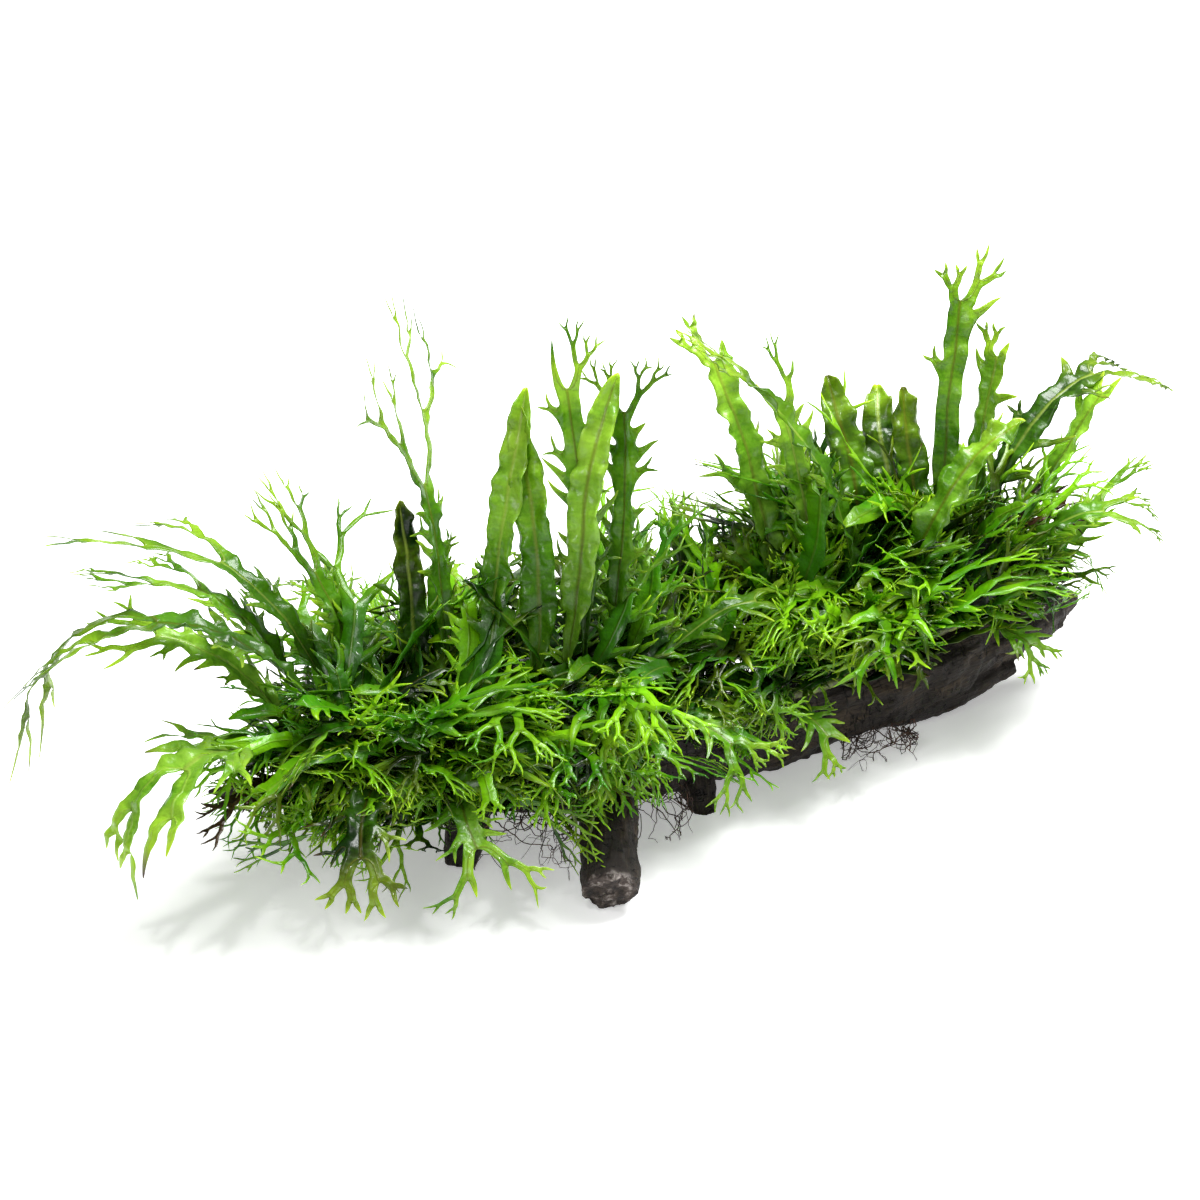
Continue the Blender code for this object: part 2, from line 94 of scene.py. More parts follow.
# Long fronds: rhizome, share along it, heading, rise, droop, twist (degrees), length, width, crest
# (metres), then the kind of leaf and its tone, from 0 dark to 1 pale. The lines are the part's own;
# some blades are drawn a few millimetres wider or narrower than their solids.
FRONDS = (
    ("rhizome_left_front", 0.74, 184, 70, 156, 20, 0.205, 0.018, 0.028, "tassel", 0.34),
    ("rhizome_left_back", 0.90, 165, 72, 92, 20, 0.146, 0.012, 0.020, "spray", 0.52),
    ("rhizome_left_front", 0.91, 173, 68, 84, -20, 0.124, 0.010, 0.018, "comb", 0.70),
    ("rhizome_left_back", 0.78, 153, 73, 92, 20, 0.156, 0.012, 0.024, "fork", 0.45),
    ("rhizome_left_back", 0.68, 140, 76, 35, 20, 0.130, 0.010, 0.026, "spray", 0.46),
    ("rhizome_left_back", 0.26, 130, 84, 14, 40, 0.180, 0.010, 0.028, "spray", 0.46),
    ("rhizome_left_back", 0.12, 52, 84, 34, 20, 0.154, 0.014, 0.015, "whole", 0.66),
    ("rhizome_middle", 0.03, 90, 84, 30, -20, 0.146, 0.016, 0.016, "whole", 0.50),
    ("rhizome_middle", 0.20, 56, 86, 38, 20, 0.160, 0.015, 0.015, "whole", 0.78),
    ("rhizome_middle", 0.32, 92, 80, 10, 20, 0.196, 0.010, 0.026, "plume", 0.60),
    ("rhizome_middle", 0.43, 72, 80, 12, -20, 0.178, 0.010, 0.026, "plume", 0.52),
    ("rhizome_left_back", 0.44, 100, 80, 12, 20, 0.106, 0.014, 0.014, "whole", 0.10),
    ("rhizome_left_front", 0.99, 226, 54, 150, 10, 0.132, 0.021, 0.024, "tassel", 0.74),
    ("rhizome_left_front", 0.60, 266, 26, 108, 10, 0.104, 0.013, 0.026, "fork", 0.08),
    ("rhizome_left_front", 0.32, 283, 16, 95, 10, 0.086, 0.010, 0.026, "lace", 0.60),
    ("rhizome_left_back", 0.57, 115, 50, 80, 10, 0.110, 0.013, 0.026, "crest", 0.45),
    ("rhizome_left_back", 0.01, 105, 52, 80, 10, 0.110, 0.013, 0.024, "crest", 0.50),
    ("rhizome_middle", 0.52, 25, 55, 118, 10, 0.122, 0.010, 0.022, "fork", 0.35),
    ("rhizome_middle", 0.62, 314, 26, 100, 10, 0.088, 0.010, 0.026, "lace", 0.55),
    ("rhizome_right_front", 0.04, 303, 20, 90, 10, 0.062, 0.009, 0.022, "lace", 0.50),
    ("rhizome_right_front", 0.36, 160, 88, 64, 20, 0.182, 0.015, 0.024, "strap", 0.35),
    ("rhizome_right_back", 0.08, 128, 80, 26, 10, 0.164, 0.016, 0.018, "strap", 0.72),
    ("rhizome_right_back", 0.20, 112, 82, 20, 10, 0.148, 0.010, 0.018, "plume", 0.66),
    ("rhizome_right_front", 0.50, 32, 88, 78, 0, 0.130, 0.015, 0.015, "whole", 0.55),
    ("rhizome_right_back", 0.40, 104, 84, 44, 0, 0.120, 0.018, 0.016, "whole", 0.30),
    ("rhizome_right_back", 0.56, 94, 82, 62, 0, 0.112, 0.017, 0.014, "whole", 0.22),
    ("rhizome_right_back", 0.66, 96, 84, 30, 20, 0.104, 0.016, 0.013, "whole", 0.20),
    ("rhizome_right_back", 0.74, 70, 78, 14, 40, 0.164, 0.013, 0.018, "strap", 0.56),
    ("rhizome_right_back", 0.84, 44, 84, 25, 0, 0.132, 0.012, 0.016, "strap", 0.50),
    ("rhizome_right_back", 0.91, 38, 84, 140, 0, 0.176, 0.015, 0.022, "crest", 0.22),
    ("rhizome_right_back", 0.96, 24, 60, 16, 0, 0.122, 0.013, 0.020, "strap", 0.85),
    ("rhizome_right_front", 0.99, 16, 58, 46, 0, 0.100, 0.011, 0.028, "spray", 0.50),
    ("rhizome_right_front", 0.92, 358, 78, 146, 0, 0.118, 0.012, 0.026, "spray", 0.40),
    ("rhizome_right_front", 0.82, 312, 20, 90, 0, 0.056, 0.009, 0.024, "lace", 0.60),
    ("rhizome_right_front", 0.60, 262, 40, 110, 0, 0.058, 0.010, 0.020, "fork", 0.15),
    ("rhizome_right_back", 0.30, 98, 58, 80, 0, 0.118, 0.013, 0.024, "crest", 0.45),
    ("rhizome_right_back", 0.70, 104, 56, 80, 0, 0.118, 0.013, 0.024, "crest", 0.40),
)
BEND_POWER = 1.5        # above 1, a frond bends more towards its tip
ARC_STEPS = 40          # steps in which a frond's line is drawn

# Masses of short fronds: the creeping stems that they grow from, how many are tried, and the
# lowest height of their tips.
MASSES = {
    "left_front": (("rhizome_left_front",), 175, 0.0),
    "left_middle": (("rhizome_left_front", "rhizome_middle"), 150, 0.0),
    "left_back": (("rhizome_left_back", "rhizome_left_front", "rhizome_middle"), 210, 0.0),
    "middle_front": (("rhizome_middle", "rhizome_right_front"), 60, 0.0),
    "middle_back": (("rhizome_middle", "rhizome_right_back"), 118, 0.060),
    "right_front": (("rhizome_right_front",), 120, 0.062),
    "right_back": (("rhizome_right_back",), 182, 0.060),
    "right_end": (("rhizome_right_front", "rhizome_right_back"), 132, 0.056),
}

LEAF_THICKNESS = 0.00035
RUFFLE_SIZE = 0.0085    # size of the waves along a blade's margins
SHORT_LENGTH = 0.090    # length of a short frond before it is sized
SHORT_SIZES = (0.50, 1.35)
SHORT_LEAN = 22         # degrees that a short frond leans out of its upright plane, as a rule
SHORT_SCATTER = 14      # degrees that its heading misses its target, as a rule
SHELL = (0.50, 1.0)     # how far out in its mass a tip is aimed, as shares of the mass's half sizes
FURTHEST = 1.2          # how far out it may end
CHOICES = 20            # fronds tried for each place; the one whose tip comes nearest is kept
WOOD_CLEARANCE = 0.001
FLOOR_CLEARANCE = 0.0006
DYING = 2.0             # tone of a dying frond
DYING_SHARE = 0.006


# ---------------------------------------------------------------- handling of objects

def take(*items):
    """Makes these the only objects selected, the first of them active."""
    bpy.ops.object.select_all(action="DESELECT")
    for item in items:
        item.select_set(True)
    bpy.context.view_layer.objects.active = items[0]


def apply_modifiers(item):
    take(item)
    for name in [modifier.name for modifier in item.modifiers]:
        bpy.ops.object.modifier_apply(modifier=name)


def apply_place(item):
    take(item)
    bpy.ops.object.transform_apply(location=True, rotation=True, scale=True)


def join(items, name):
    take(*items)
    bpy.ops.object.join()
    joined = bpy.context.view_layer.objects.active
    joined.name = name
    joined.data.name = name
    return joined


def hand_over(piece, slot, *nodes):
    """Gives a finished piece its body and hides the solids that it stands for; the slot is not used."""
    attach(piece, "root")
    if nodes:
        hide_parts(*nodes)


def cloud_texture(name, size, depth=2, hard=False):
    texture = bpy.data.textures.new(name, "CLOUDS")
    texture.noise_scale = size
    texture.noise_depth = depth
    texture.noise_type = "HARD_NOISE" if hard else "SOFT_NOISE"
    return texture


# ---------------------------------------------------------------- routes

def smooth_route(points, steps):
    """Catmull-Rom points, steps to a span, through tuples of any length."""
    first = [2 * a - b for a, b in zip(points[0], points[1])]
    last = [2 * a - b for a, b in zip(points[-1], points[-2])]
    knots = [first, *points, last]
    route = []
    for span in range(len(points) - 1):
        p0, p1, p2, p3 = knots[span:span + 4]
        for step in range(steps):
            t = step / steps
            route.append([
                0.5 * (2 * b + (c - a) * t + (2 * a - 5 * b + 4 * c - d) * t * t
                       + (3 * b - a - 3 * c + d) * t ** 3)
                for a, b, c, d in zip(p0, p1, p2, p3)])
    route.append(list(points[-1]))
    return route


def limb_route(limb, steps=8):
    """Centre points in the row frame, and the radius at each."""
    route = smooth_route(LIMBS[limb], steps)
    return [Vector(stop[:3]) - FOOTPRINT_MIDDLE for stop in route], [stop[3] for stop in route]


def place_on_limb(limb, share, angle, lift):
    """A place lift away from a limb's bark, at a share of its length and an angle off the top."""
    centres, radii = limb_route(limb)
    along = share * (len(centres) - 1)
    index = min(int(along), len(centres) - 2)
    part = along - index
    centre = centres[index].lerp(centres[index + 1], part)
    radius = radii[index] * (1 - part) + radii[index + 1] * part
    tangent = (centres[index + 1] - centres[max(index - 1, 0)]).normalized()
    side = tangent.cross(Vector((0, 0, 1))).normalized()
    up = side.cross(tangent).normalized()
    if side.y > 0:
        side = -side
    tilt = math.radians(angle)
    return centre + (math.sin(tilt) * side + math.cos(tilt) * up) * (radius * (1 + BURR) + lift)


def rhizome_place(name, share):
    """A place on a creeping stem's centre line."""
    limb, start, end, angle = RHIZOMES[name]
    lift = RHIZOME_RADIUS * 0.6 + abs(RHIZOME_WAVE * math.sin(9 * share))
    swing = RHIZOME_SWING * math.sin(7 * share)
    return place_on_limb(limb, start + (end - start) * share, angle + swing, lift)


def arc(length, rise, droop):
    """Points of a frond's line in its own upright plane: x ahead, y up."""
    places = [Vector((0, 0, 0))]
    for step in range(ARC_STEPS):
        bend = math.radians(rise - droop * (step / ARC_STEPS) ** BEND_POWER)
        places.append(places[-1] + Vector((math.cos(bend), math.sin(bend), 0)) * (length / ARC_STEPS))
    return places


def upright_plane(foot, heading):
    """The matrix that stands a frond's plane on its foot: x goes ahead, y goes up."""
    turn = math.radians(heading)
    ahead = Vector((math.cos(turn), math.sin(turn), 0))
    up = Vector((0, 0, 1))
    frame_matrix = Matrix((ahead, up, ahead.cross(up))).transposed().to_4x4()
    return Matrix.Translation(foot) @ frame_matrix


# ---------------------------------------------------------------- flat fronds

class Blade:
    """A flat frond being drawn out in edit mode: x runs along it, z across it.

    The row of edges that is selected is its growing end. The leaf attribute holds, for each point,
    the length from the foot, the place across from -1 to 1, and how far it is a tip: 0 on the
    blade, ARM along an arm, then up to 1 at the point.
    """

    def __init__(self, name, stalk):
        bpy.ops.object.select_all(action="DESELECT")
        bpy.ops.mesh.primitive_grid_add(
            x_subdivisions=1, y_subdivisions=2, size=stalk, location=(stalk / 2, 0, 0),
            rotation=(math.pi / 2, 0, 0))
        self.item = bpy.context.object
        self.item.name = name
        bpy.ops.object.transform_apply(location=True, rotation=True, scale=True)
        self.item.data.attributes.new("leaf", "FLOAT_VECTOR", "POINT")
        bpy.ops.object.mode_set(mode="EDIT")
        bpy.ops.mesh.select_mode(type="EDGE")
        self.heading = 0.0
        self.width = stalk
        self.along = stalk
        self.place = Vector((stalk, 0, 0))
        self.select_edges(lambda edge: min(corner.co.x for corner in edge.verts) > 0.99 * stalk)
        self.mark(0.0)

    def select_edges(self, wanted):
        bpy.ops.mesh.select_all(action="DESELECT")
        drawn = bmesh.from_edit_mesh(self.item.data)
        for edge in drawn.edges:
            if wanted(edge):
                edge.select_set(True)
        bmesh.update_edit_mesh(self.item.data)

    def mark(self, tip):
        """Writes the leaf attribute of the row that is selected."""
        drawn = bmesh.from_edit_mesh(self.item.data)
        layer = drawn.verts.layers.float_vector["leaf"]
        across = Vector((-math.sin(self.heading), 0, math.cos(self.heading)))
        for corner in drawn.verts:
            if corner.select:
                offset = (corner.co - self.place).dot(across) / (self.width / 2)
                corner[layer] = Vector((self.along, offset, tip))

    def grow(self, step, turn, width, tip=0.0):
        """Extrudes the growing end by a step, turned and brought to a width."""
        self.heading += turn
        move = Vector((math.cos(self.heading), 0, math.sin(self.heading))) * step
        bpy.ops.mesh.extrude_region_move(TRANSFORM_OT_translate={"value": move})
        self.place = self.place + move
        self.along += step
        if turn:
            bpy.ops.transform.rotate(value=turn, orient_axis="Y", center_override=self.place)
        bpy.ops.transform.resize(value=(width / self.width,) * 3, center_override=self.place)
        self.width = width
        self.mark(tip)

    def halves(self):
        """Splits the growing end in two and gives the middle of each half."""
        if sum(edge.select for edge in bmesh.from_edit_mesh(self.item.data).edges) == 1:
            bpy.ops.mesh.subdivide(number_cuts=1)
        across = Vector((-math.sin(self.heading), 0, math.cos(self.heading)))
        drawn = bmesh.from_edit_mesh(self.item.data)
        middles = [
            (edge.verts[0].co + edge.verts[1].co) / 2
            for edge in drawn.edges if edge.select and edge.is_boundary]
        return sorted(middles, key=lambda middle: middle.dot(across))

    def pick(self, middle, heading, along):
        """Makes the open edge nearest to a place the growing end."""
        bpy.ops.mesh.select_all(action="DESELECT")
        drawn = bmesh.from_edit_mesh(self.item.data)
        open_edges = [edge for edge in drawn.edges if edge.is_boundary]
        nearest = min(
            open_edges, key=lambda edge: ((edge.verts[0].co + edge.verts[1].co) / 2 - middle).length)
        nearest.select_set(True)
        bmesh.update_edit_mesh(self.item.data)
        self.place = (nearest.verts[0].co + nearest.verts[1].co) / 2
        self.width = nearest.calc_length()
        self.heading = heading
        self.along = along

    def finish(self):
        bpy.ops.mesh.select_all(action="SELECT")
        bpy.ops.mesh.normals_make_consistent(inside=False)
        bpy.ops.object.mode_set(mode="OBJECT")
        return self.item


def grow_tip(blade, dice, reach, width):
    """A pointed tip."""
    blade.grow(0.50 * reach, dice.uniform(-0.30, 0.30), 0.66 * width, tip=0.7)
    blade.grow(0.50 * reach, dice.uniform(-0.40, 0.40), 0.12 * width, tip=1.0)


def grow_arms(blade, dice, reach, width, depth, spread):
    """Forks the growing end, and forks its arms again and again down to pointed tips."""
    heading, along = blade.heading, blade.along
    for side, middle in zip((-1, 1), blade.halves()):
        blade.pick(middle, heading, along)
        turn = side * spread * dice.uniform(0.6, 1.35)
        length = reach * dice.uniform(0.65, 1.25)
        if depth and dice.random() < 0.86:
            blade.grow(0.45 * length, turn, width, tip=ARM)
            blade.grow(0.40 * length, -0.35 * turn + dice.uniform(-0.15, 0.15), 0.84 * width, tip=ARM)
            blade.grow(0.18 * length, dice.uniform(-0.15, 0.15), 1.25 * width, tip=ARM)
            grow_arms(blade, dice, 0.72 * length, 0.64 * width, depth - 1, spread)
        else:
            blade.grow(0.40 * length, turn, 0.86 * width, tip=ARM)
            grow_tip(blade, dice, 0.9 * length, 0.86 * width)


def grow_lobe(blade, dice, margin, side, heading, along, reach, width):
    """A side lobe off the margin of the blade, now and then forked."""
    blade.pick(margin, heading + side * math.pi / 2, along)
    blade.grow(0.30 * reach, -side * dice.uniform(0.55, 0.80), min(blade.width, 1.4 * width), tip=ARM)
    blade.grow(0.35 * reach, dice.uniform(-0.2, 0.2), width, tip=ARM)
    if dice.random() < 0.6:
        grow_arms(blade, dice, 0.6 * reach, 0.70 * width, 0, 0.55)
    else:
        grow_tip(blade, dice, 0.8 * reach, width)


# How each kind of leaf grows: share of the length where the blade ends, side lobes to a margin,
# forks in a row at the end, share of the blade width an arm has, and the spread of the forks.
KINDS = {
    "whole": (0.72, 0, None, 0.0, 0.0),
    "strap": (0.84, 1, 2, 0.42, 0.45),
    "crest": (0.66, 3, 3, 0.46, 0.46),
    "comb": (0.72, 5, 2, 0.46, 0.50),
    "fork": (0.60, 3, 2, 0.50, 0.46),
    "lace": (0.58, 3, 3, 0.50, 0.50),
    "tassel": (0.48, 2, 2, 0.52, 0.26),
    "plume": (0.74, 7, 3, 0.36, 0.46),
    "spray": (0.56, 5, 3, 0.46, 0.50),
}
ARM = 0.4               # tip value of the leaf attribute along an arm
ROW_STEP = 0.050        # length of a row of faces, as a share of the frond's length
STALK = 0.0022


def make_flat_frond(name, kind, length, width, seed, stalk_share=0.20):
    """A flat frond of a kind, from its narrow stalk to its tips."""
    dice = random.Random(seed)
    end, lobes, forks, arm, spread = KINDS[kind]
    stalk = min(STALK, 0.4 * width)
    blade = Blade(name, stalk)
    for share in (0.35, 0.7, 1.0):
        blade.grow(share * stalk_share * length - blade.along, 0.0, stalk)
    margins = []
    sway = 0.0
    while blade.along < end * length:
        share = blade.along / length + ROW_STEP
        filled = min(1.0, (share - stalk_share) / 0.20) ** 0.8
        waist = 1.0 if forks is None else 1 - 0.22 * max(0.0, (share - 0.40) / end)
        wide = stalk + (width - stalk) * filled * waist * dice.uniform(0.84, 1.10)
        turn = dice.uniform(-0.09, 0.09) - 0.4 * sway
        sway += turn
        before = blade.place.copy()
        blade.grow(ROW_STEP * length, turn, wide)
        across = Vector((-math.sin(blade.heading), 0, math.cos(blade.heading)))
        middle = (before + blade.place) / 2
        margins.append((middle, across, wide / 2, blade.heading, blade.along))
    if forks is None:
        for share in (0.96, 0.88, 0.74, 0.52):
            blade.grow(0.055 * length, dice.uniform(-0.10, 0.10), share * width)
        blade.grow(0.05 * length, dice.uniform(-0.15, 0.15), 0.14 * width, tip=1.0)
    else:
        left = length - blade.along
        reach = left / (1 + 0.72 * forks * 0.85)
        blade.grow(0.20 * reach, 0.0, 1.15 * blade.width)
        grow_arms(blade, dice, reach, arm * width, forks, spread)
    rows = [row for row in margins if row[4] > (stalk_share + 0.12) * length]
    for side in (-1, 1):
        for number in range(lobes):
            row = rows[int((number + dice.random()) / lobes * len(rows))]
            middle, across, half, heading, along = row
            reach = width * dice.uniform(0.5, 1.2)
            grow_lobe(blade, dice, middle + side * half * across, side, heading, along, reach, 0.26 * width)
    return blade.finish()


def weigh(item, name, weight_of):
    """Adds a vertex group whose weights come from the leaf attribute."""
    group = item.vertex_groups.new(name=name)
    for index, value in enumerate(item.data.attributes["leaf"].data):
        group.add([index], weight_of(value.vector), "REPLACE")


def shape_frond(item, length, rise, droop, twist, levels, ripple, fold, sway=0.0):
    """Rounds the flat frond, ruffles its margins, folds it at the midrib, bends it, gives it thickness."""
    weigh(item, "margin", lambda leaf: (
        min(1.0, abs(leaf[1])) * min(1.0, leaf[0] / (0.35 * length)) * max(0.0, 1 - 1.5 * leaf[2])))
    weigh(item, "midrib", lambda leaf: max(0.0, 1 - abs(leaf[1])))
    if levels:
        rounding = item.modifiers.new("rounding", "SUBSURF")
        rounding.levels = levels
        rounding.render_levels = levels
    ruffle = item.modifiers.new("ruffle", "DISPLACE")
    ruffle.texture = cloud_texture("ruffle", RUFFLE_SIZE, 1)
    ruffle.direction = "Y"
    ruffle.vertex_group = "margin"
    ruffle.strength = ripple
    crease = item.modifiers.new("fold", "DISPLACE")
    crease.direction = "Y"
    crease.mid_level = 0.0
    crease.vertex_group = "midrib"
    crease.strength = -fold
    line = bpy.data.curves.new("bend", "CURVE")
    line.dimensions = "3D"
    line.twist_mode = "Z_UP"
    line.twist_smooth = 0.0
    places = arc(length, rise, droop)
    spline = line.splines.new("POLY")
    spline.points.add(len(places) - 1)
    for index, (point, place) in enumerate(zip(spline.points, places)):
        share = index / (len(places) - 1)
        point.co = (*place.xy, sway * length * math.sin(5 * share) * share, 1)
        point.tilt = math.radians(twist) * share
    guide = bpy.data.objects.new("bend", line)
    bpy.context.scene.collection.objects.link(guide)
    bend = item.modifiers.new("bend", "CURVE")
    bend.object = guide
    bend.deform_axis = "POS_X"
    wall = item.modifiers.new("thickness", "SOLIDIFY")
    wall.thickness = LEAF_THICKNESS
    wall.offset = 0.0
    apply_modifiers(item)
    bpy.data.objects.remove(guide)
    item.vertex_groups.clear()
    bpy.ops.object.shade_smooth()


def set_tone(item, tone, length):
    """Writes the tone attribute: tone of the whole leaf, share of the way along it, a number of its own."""
    mesh = item.data
    attribute = mesh.attributes.get("tone") or mesh.attributes.new("tone", "FLOAT_VECTOR", "POINT")
    leaf = np.zeros(3 * len(mesh.vertices), np.float32)
    mesh.attributes["leaf"].data.foreach_get("vector", leaf)
    values = np.zeros_like(leaf)
    values[0::3] = tone
    values[1::3] = leaf[0::3] / length
    values[2::3] = math.fmod(tone * 977.0, 1.0)
    attribute.data.foreach_set("vector", values)


def make_long_fronds(material):
    for number, row in enumerate(FRONDS, 1):
        rhizome, share, heading, rise, droop, twist, length, width, crest, kind, tone = row
        name = f"long_frond_{number:02d}"
        item = make_flat_frond(name, kind, length, width, number)
        ripple = width if kind == "whole" else 0.75 * width
        shape_frond(item, length, rise, droop, twist, 2, ripple, 0.10 * width, sway=0.03)
        start = math.radians(rise)
        foot = rhizome_place(rhizome, share)
        plane = upright_plane(foot, heading)
        lift = plane.to_3x3() @ Vector((math.cos(start), math.sin(start), 0)) * (RHIZOME_RADIUS + 3 * GAP)
        item.matrix_world = Matrix.Translation(lift) @ plane
        apply_place(item)
        keep_above_floor(item)
        set_tone(item, tone, length)
        item.data.materials.append(material)
        hand_over(item, "long_fronds", f"frond_{number:02d}")


def mesh_places(item):
    places = np.zeros(3 * len(item.data.vertices), np.float32)
    item.data.vertices.foreach_get("co", places)
    return places.reshape(-1, 3)


def keep_above_floor(item, clearance=0.0005):
    """Lays on the floor whatever would hang under it."""
    places = mesh_places(item)
    low = places[:, 2] < clearance
    if low.any():
        places[low, 2] = clearance + 0.02 * np.abs(places[low, 2])
        item.data.vertices.foreach_set("co", places.ravel())
        item.data.update()


# ---------------------------------------------------------------- short fronds

# Bends of the short fronds: kind, rise, droop, twist (degrees).
SHORT_KINDS = (
    ("lace", 70, 60, 60), ("lace", 55, 95, -45), ("lace", 40, 110, 30), ("lace", 25, 100, -50),
    ("lace", 62, 130, 55), ("lace", 78, 90, -70), ("lace", 10, 60, 45), ("lace", 48, 50, -30),
    ("lace", 15, -20, 40), ("lace", -5, -45, -30), ("lace", 35, 10, 60), ("lace", 60, 30, -40),
    ("lace", 80, 40, 80), ("lace", 5, 30, -60), ("lace", -20, -50, 50), ("lace", 50, 120, -80),
    ("fork", 74, 70, 50), ("fork", 50, 105, -50), ("fork", 30, 60, 40), ("fork", 64, 20, -60),
    ("comb", 72, 50, 70), ("comb", 45, 90, -40), ("comb", 20, 40, 35), ("crest", 66, 85, -55),
    ("crest", 35, 105, 45), ("crest", 80, 40, 50), ("strap", 76, 70, -40), ("strap", 50, 100, 50),
    ("whole", 78, 45, 40), ("whole", 70, 80, -40), ("lace", 84, 22, 40), ("comb", 82, 30, -35),
    ("lace", 80, 62, 30), ("crest", 84, 40, -40), ("fork", 82, 24, 30), ("lace", 30, 60, 20),
)


def make_short_kinds():
    """Bent short fronds to copy, each with its line's points and its mesh's points."""
    made = []
    for number, (kind, rise, droop, twist) in enumerate(SHORT_KINDS):
        width = SHORT_LENGTH * (0.088 if kind in ("lace", "comb") else 0.104)
        item = make_flat_frond(f"short_{number}", kind, SHORT_LENGTH, width, 100 + number, stalk_share=0.26)
        shape_frond(item, SHORT_LENGTH, rise, droop, 0.6 * twist, 0, 0.7 * width, 0.08 * width, sway=0.08)
        set_tone(item, 0.5, SHORT_LENGTH)
        item["slender"] = kind in ("lace", "comb", "fork")
        line = np.array([place[:] for place in arc(SHORT_LENGTH, rise, droop)])
        made.append((item, line[10::6], mesh_places(item)))
    return made


def wood_points():
    centres = []
    for limb in LIMBS:
        places, radii = limb_route(limb, 6)
        centres += [(*place, radius) for place, radius in zip(places, radii)]
    return np.array(centres)


def try_place(dice, rhizomes, target):
    """A foot on one of the creeping stems, and the place of a frond that grows there towards a target."""
    foot = rhizome_place(dice.choice(rhizomes), dice.random())
    toward = math.degrees(math.atan2(target[1] - foot.y, target[0] - foot.x))
    lean = Matrix.Rotation(math.radians(dice.gauss(0, SHORT_LEAN)), 4, "X")
    size = Matrix.Scale(dice.uniform(*SHORT_SIZES), 4)
    return foot, upright_plane(foot, toward + dice.gauss(0, SHORT_SCATTER)) @ lean @ size


def plant_mass(name, rhizomes, count, lowest, kinds, wood, material):
    """Fills a mass with short fronds whose tips end evenly inside it, clear of the wood and the floor."""
    dice = random.Random(name)
    low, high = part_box("foliage_" + name)
    middle = np.array((low + high) / 2)
    half = np.array((high - low) / 2)
    fronds = []
    for _ in range(count):
        way = np.array([dice.gauss(0, 1) for _ in range(3)])
        target = middle + half * way / np.linalg.norm(way) * dice.uniform(*SHELL)
        target[2] = max(target[2], lowest)
        best = None
        for _ in range(CHOICES):
            item, line, points = dice.choice(kinds)
            foot, place = try_place(dice, rhizomes, target)
            turn = np.array(place.to_3x3())
            course = line @ turn.T + np.array(foot)
            missed = np.linalg.norm(course[-1] - target)
            if course[-1][2] < lowest or (best and missed > best[0]):
                continue
            away = np.linalg.norm(course[:, None, :] - wood[None, :, :3], axis=2) - wood[None, :, 3]
            bottom = (points @ turn.T)[:, 2].min() + foot.z
            if away.min() < WOOD_CLEARANCE or bottom < FLOOR_CLEARANCE:
                continue
            best = (missed, item, place, np.linalg.norm((course[-1] - middle) / half))
        if best and best[3] < FURTHEST:
            fronds.append(plant(best[1], best[2], pick_tone_and_painted_shade(dice, best[3], best[1]["slender"])))
    piece = join(fronds, "short_fronds_" + name)
    apply_place(piece)
    piece.data.materials.clear()
    piece.data.materials.append(material)
    hand_over(piece, "short_fronds", "foliage_" + name)


def plant(item, place, tone):
    """A copy of a short frond with its own mesh, standing in its place."""
    copy = item.copy()
    copy.data = item.data.copy()
    bpy.context.scene.collection.objects.link(copy)
    copy.matrix_world = place
    set_tone(copy, tone, SHORT_LENGTH)
    return copy


def pick_tone_and_painted_shade(dice, reach, slender):
    """Tone of a short frond: darker deeper inside the mass as painted shade; now and then a slender one brown
    and dying.
    """
    if slender and dice.random() < DYING_SHARE:
        return DYING
    # Painted shade: the nearer its tip ends to the middle of the mass, the darker the frond.
    return min(1.0, max(0.0, dice.gauss(0.72 * reach - 0.20, 0.27)))


def make_short_fronds(material):
    kinds = make_short_kinds()
    wood = wood_points()
    share = 1.0
    for name, (rhizomes, count, lowest) in MASSES.items():
        plant_mass(name, rhizomes, round(share * count), lowest, kinds, wood, material)
    for item, _, _ in kinds:
        bpy.data.objects.remove(item)


# ---------------------------------------------------------------- wood, stems and roots

def make_tube(name, places, radii, sides=32):
    """A tube along a line, closed at its ends."""
    line = bpy.data.curves.new(name, "CURVE")
    line.dimensions = "3D"
    line.bevel_depth = 1.0
    line.bevel_resolution = max(0, sides // 4 - 1)
    line.use_fill_caps = True
    spline = line.splines.new("POLY")
    spline.points.add(len(places) - 1)
    for point, place, radius in zip(spline.points, places, radii):
        point.co = (*place, 1)
        point.radius = radius
    item = bpy.data.objects.new(name, line)
    bpy.context.scene.collection.objects.link(item)
    take(item)
    bpy.ops.object.convert(target="MESH")
    item = bpy.context.object
    bpy.ops.object.mode_set(mode="EDIT")
    bpy.ops.mesh.select_all(action="SELECT")
    bpy.ops.mesh.remove_doubles(threshold=0.00001)
    bpy.ops.mesh.normals_make_consistent(inside=False)
    bpy.ops.object.mode_set(mode="OBJECT")
    return item


def stretched_space(places):
    """An empty whose x runs along a limb, stretched, so that a texture becomes grain."""
    along = (places[-1] - places[0]).normalized()
    empty = bpy.data.objects.new("grain direction", None)
    bpy.context.scene.collection.objects.link(empty)
    turn = along.to_track_quat("X", "Z").to_matrix().to_4x4()
    empty.matrix_world = turn @ Matrix.Diagonal((7.0, 1.0, 1.0, 1.0))
    return empty


def displace(item, name, texture, strength, space=None, middle=0.5):
    layer = item.modifiers.new(name, "DISPLACE")
    layer.texture = texture
    layer.strength = strength
    layer.mid_level = middle
    if space:
        layer.texture_coords = "OBJECT"
        layer.texture_coords_object = space


# The broken point in which a limb runs out, past its last row: places and radii as in LIMBS.
BROKEN_ENDS = {
    "trunk": (
        (0.2275, 0.0925, 0.0388, 0.0052), (0.2310, 0.0940, 0.0398, 0.0030), (0.2350, 0.0955, 0.0402, 0.0008)),
    "left_arm": ((-0.1720, -0.0725, 0.0340, 0.0012),),
}


